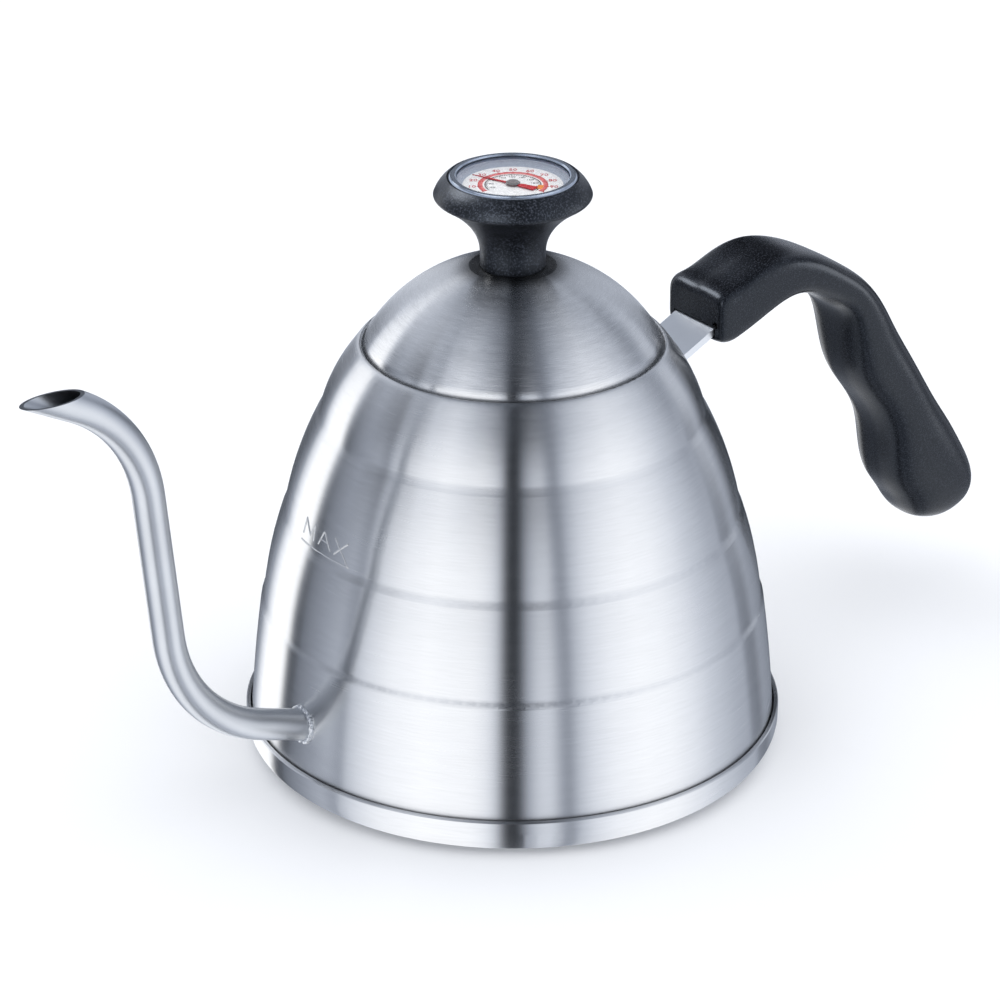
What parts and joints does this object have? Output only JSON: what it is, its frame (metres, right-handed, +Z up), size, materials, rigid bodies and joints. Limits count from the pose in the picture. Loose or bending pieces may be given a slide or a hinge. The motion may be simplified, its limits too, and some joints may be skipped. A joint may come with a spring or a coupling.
{
  "type": "gooseneck kettle",
  "caption": "Stovetop pour-over kettle: tapered brushed steel body, thin gooseneck spout, lift-off lid with a dial thermometer in its knob, black grip on a steel strap.",
  "frame": {"origin": "centre of the base's underside, on the kettle's axis", "axes": "+Z up the kettle's axis, +X towards the handle, so the spout points along -X"},
  "size_m": [0.3204, 0.1474, 0.1639],
  "materials": {
    "brushed_steel_outer": "brushed round the axis, half gloss",
    "satin_steel_inner": "satin",
    "satin_steel_tube": "satin, brushed along its length",
    "weld_bead": "uneven, bright",
    "cast_aluminium": "plain",
    "black_plastic": "satin with a fine grain",
    "zinc_screw": "zinc plated",
    "silicone_seal": "plain",
    "dial_surround": "satin grey",
    "brass_inner": "plain",
    "dial_print": "printed white dial",
    "lens_glass": "clear",
    "polished_bezel": "polished",
    "red_paint": "gloss",
    "dark_paint": "satin"
  },
  "bodies": {
    "kettle": {"body_shell": "brushed_steel_outer", "inside_floor": "satin_steel_inner", "base_core": "cast_aluminium", "base_cap": "brushed_steel_outer", "spout_tube": "satin_steel_tube", "spout_weld": "weld_bead", "handle_bracket": "satin_steel_tube", "bracket_weld": "weld_bead", "handle_grip": "black_plastic", "grip_screws": "zinc_screw"},
    "lid": {"lid_dome": "brushed_steel_outer", "lid_skirt": "satin_steel_inner", "knob": "black_plastic", "knob_gasket": "silicone_seal", "knob_stud": "satin_steel_inner", "stud_washer": "satin_steel_inner", "knob_nut": "zinc_screw", "thermometer_case": "dial_surround", "probe_tube": "satin_steel_tube", "probe_ferrule": "brass_inner", "shaft_bush": "brass_inner", "bimetal_coil": "brass_inner", "coil_anchor": "brass_inner", "dial_spacer": "dial_surround", "dial_plate": "dial_print", "dial_ring": "dial_surround", "lens_gasket": "silicone_seal", "lens": "lens_glass", "bezel_ring": "polished_bezel"},
    "pointer": {"pointer": "red_paint", "pointer_hub": "dark_paint", "pointer_shaft": "satin_steel_tube"}
  },
  "joints": [
    {"name": "lid_lift", "type": "slide", "parent": "kettle", "child": "lid", "axis": [0, 0, 1], "range_m": [0, 0.12]},
    {"name": "pointer_turn", "type": "hinge", "parent": "lid", "child": "pointer", "pos_m": [0, 0, 0.1602], "axis": [0, 0, -1], "range_deg": [-64, 181]}
  ]
}
